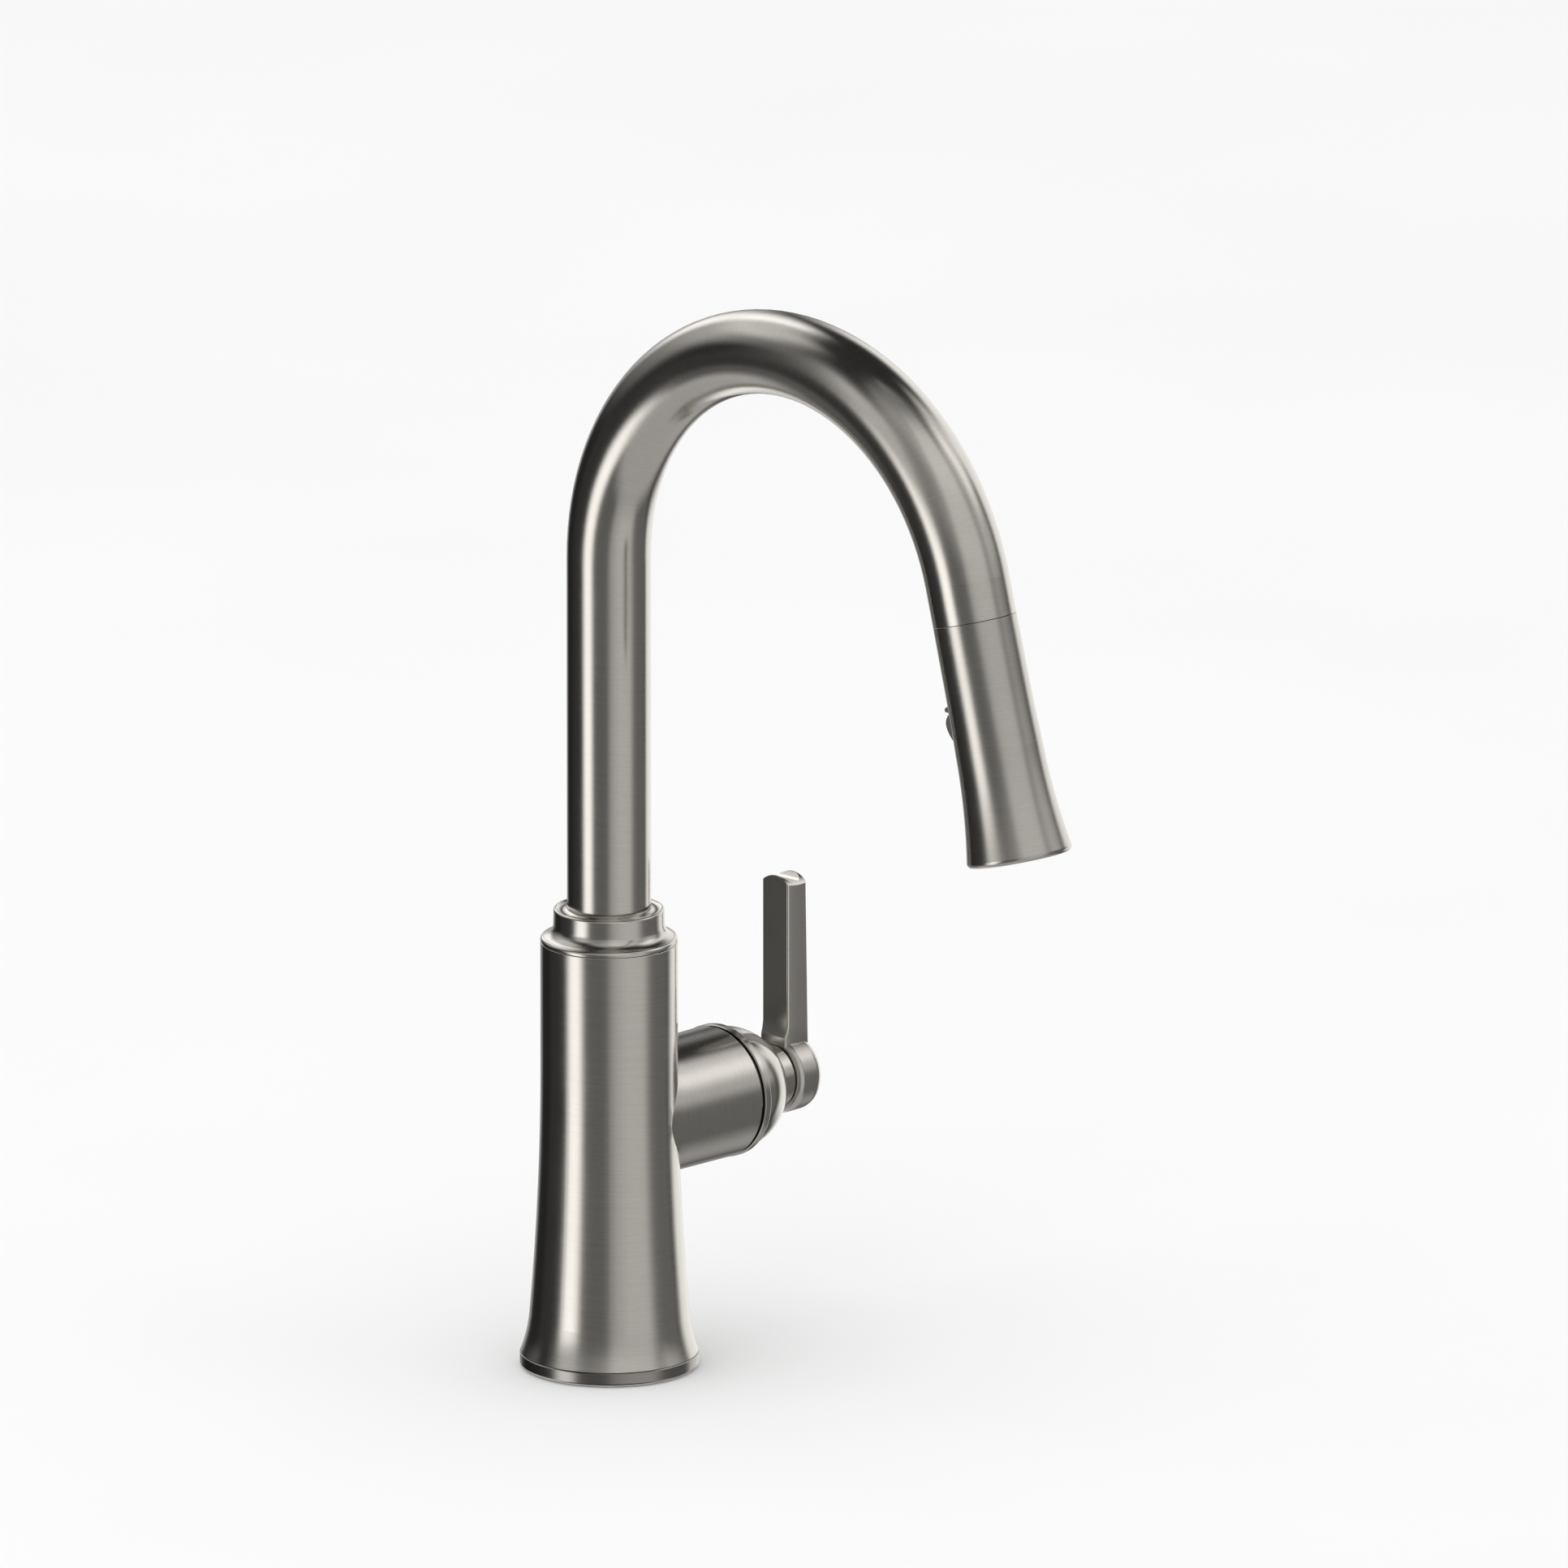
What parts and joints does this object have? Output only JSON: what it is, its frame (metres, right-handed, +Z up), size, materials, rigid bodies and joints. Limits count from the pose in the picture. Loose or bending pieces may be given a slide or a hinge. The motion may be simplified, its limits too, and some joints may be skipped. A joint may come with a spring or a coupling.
{
  "type": "kitchen faucet",
  "caption": "Pull-down kitchen faucet with a swivelling gooseneck, a docked spray wand with a rocker button, and a side lever on a domed valve cover.",
  "frame": {"origin": "centre of the base on the deck plane, on the column's axis", "axes": "+Z up, spout points to -Y (front), lever on the +X side"},
  "size_m": [0.1292, 0.2529, 0.494],
  "materials": {
    "brushed_nickel": "fine circumferential brushing, satin",
    "dark_plastic": "moulded, matt",
    "white_plastic": "moulded, matt",
    "seal_rubber": "matt",
    "brass": "turned",
    "ceramic_disc": "lapped alumina ceramic",
    "stainless": "plain stainless steel",
    "magnet": "sintered ferrite",
    "copper": "drawn copper",
    "braided_hose": "braided nylon",
    "soft_nozzle": "soft silicone",
    "grey_plastic": "moulded, satin"
  },
  "bodies": {
    "base": {"body_casting": "brushed_nickel", "base_ring": "brushed_nickel", "base_gasket": "seal_rubber", "glide_washer": "dark_plastic", "upper_bushing": "white_plastic", "lower_bushing": "white_plastic", "valve_block": "brass", "cartridge_seals": "seal_rubber", "cartridge_body": "dark_plastic", "fixed_disc": "ceramic_disc", "cartridge_nut": "brass", "trim_ring": "brushed_nickel", "inlet_tube_hot": "copper", "inlet_tube_cold": "copper", "outlet_tube": "copper", "inlet_fitting_hot": "brass", "inlet_fitting_cold": "brass", "outlet_fitting": "brass", "mounting_shank": "brass", "deck_washer_rubber": "dark_plastic", "deck_washer_steel": "stainless", "mounting_nut": "brass", "jack_screws": "stainless", "hose_end_fitting": "brass"},
    "spout": {"spout_collar": "brushed_nickel", "swivel_clip": "stainless", "spout_tube": "brushed_nickel", "dock_bushing": "dark_plastic", "dock_magnet": "magnet", "spray_hose": "braided_hose"},
    "wand": {"wand_shell": "brushed_nickel", "wand_neck": "white_plastic", "hose_nut": "brass", "dock_ring": "stainless", "hose_washer": "seal_rubber", "check_valve": "white_plastic", "wand_waterway": "white_plastic", "toggle_pin": "stainless", "diverter_spring": "stainless", "spray_nozzles": "soft_nozzle", "spray_face": "grey_plastic", "aerator": "grey_plastic"},
    "toggle": {"toggle_button": "brushed_nickel"},
    "diverter": {"diverter_spool": "dark_plastic"},
    "carrier": {"stem_carrier": "dark_plastic", "pivot_pin": "stainless"},
    "lever": {"lever_stem": "stainless", "dome_cap": "brushed_nickel", "neck_ring": "brushed_nickel", "lever_handle": "brushed_nickel", "handle_screw": "stainless", "screw_plug": "brushed_nickel"},
    "disc": {"moving_disc": "ceramic_disc"}
  },
  "joints": [
    {"name": "spout_swivel", "type": "hinge", "parent": "base", "child": "spout", "pos_m": [0, 0, 0.158], "axis": [0, 0, 1], "range_deg": [-180, 180], "deforming": ["spray_hose"]},
    {"name": "wand_pull", "type": "slide", "parent": "spout", "child": "wand", "axis": [0, -0.2588, -0.9659], "range_m": [0, 0.22], "stiffness_N_per_m": 10, "springref_m": -0.5, "deforming": ["spray_hose"]},
    {"name": "toggle_rock", "type": "hinge", "parent": "wand", "child": "toggle", "pos_m": [0, -0.17873, 0.27153], "axis": [1, 0, 0], "range_deg": [-4, 4]},
    {"name": "diverter_shift", "type": "slide", "parent": "wand", "child": "diverter", "axis": [0, -0.2588, -0.9659], "range_m": [-0.0005, 0.0005], "deforming": ["diverter_spring"]},
    {"name": "lever_temperature", "type": "hinge", "parent": "base", "child": "carrier", "pos_m": [0.059, 0, 0.0904], "axis": [1, 0, 0], "range_deg": [-45, 45]},
    {"name": "lever_flow", "type": "hinge", "parent": "carrier", "child": "lever", "pos_m": [0.059, 0, 0.0904], "axis": [0, 1, 0], "range_deg": [0, 25]},
    {"name": "disc_shift", "type": "slide", "parent": "carrier", "child": "disc", "axis": [0, 0, 1], "range_m": [0, 0.006]}
  ],
  "couplings": [
    {"joint": "toggle_rock", "follows": "diverter_shift", "rad_per_m": 138.9},
    {"joint": "disc_shift", "follows": "lever_flow", "m_per_rad": 0.01356}
  ]
}
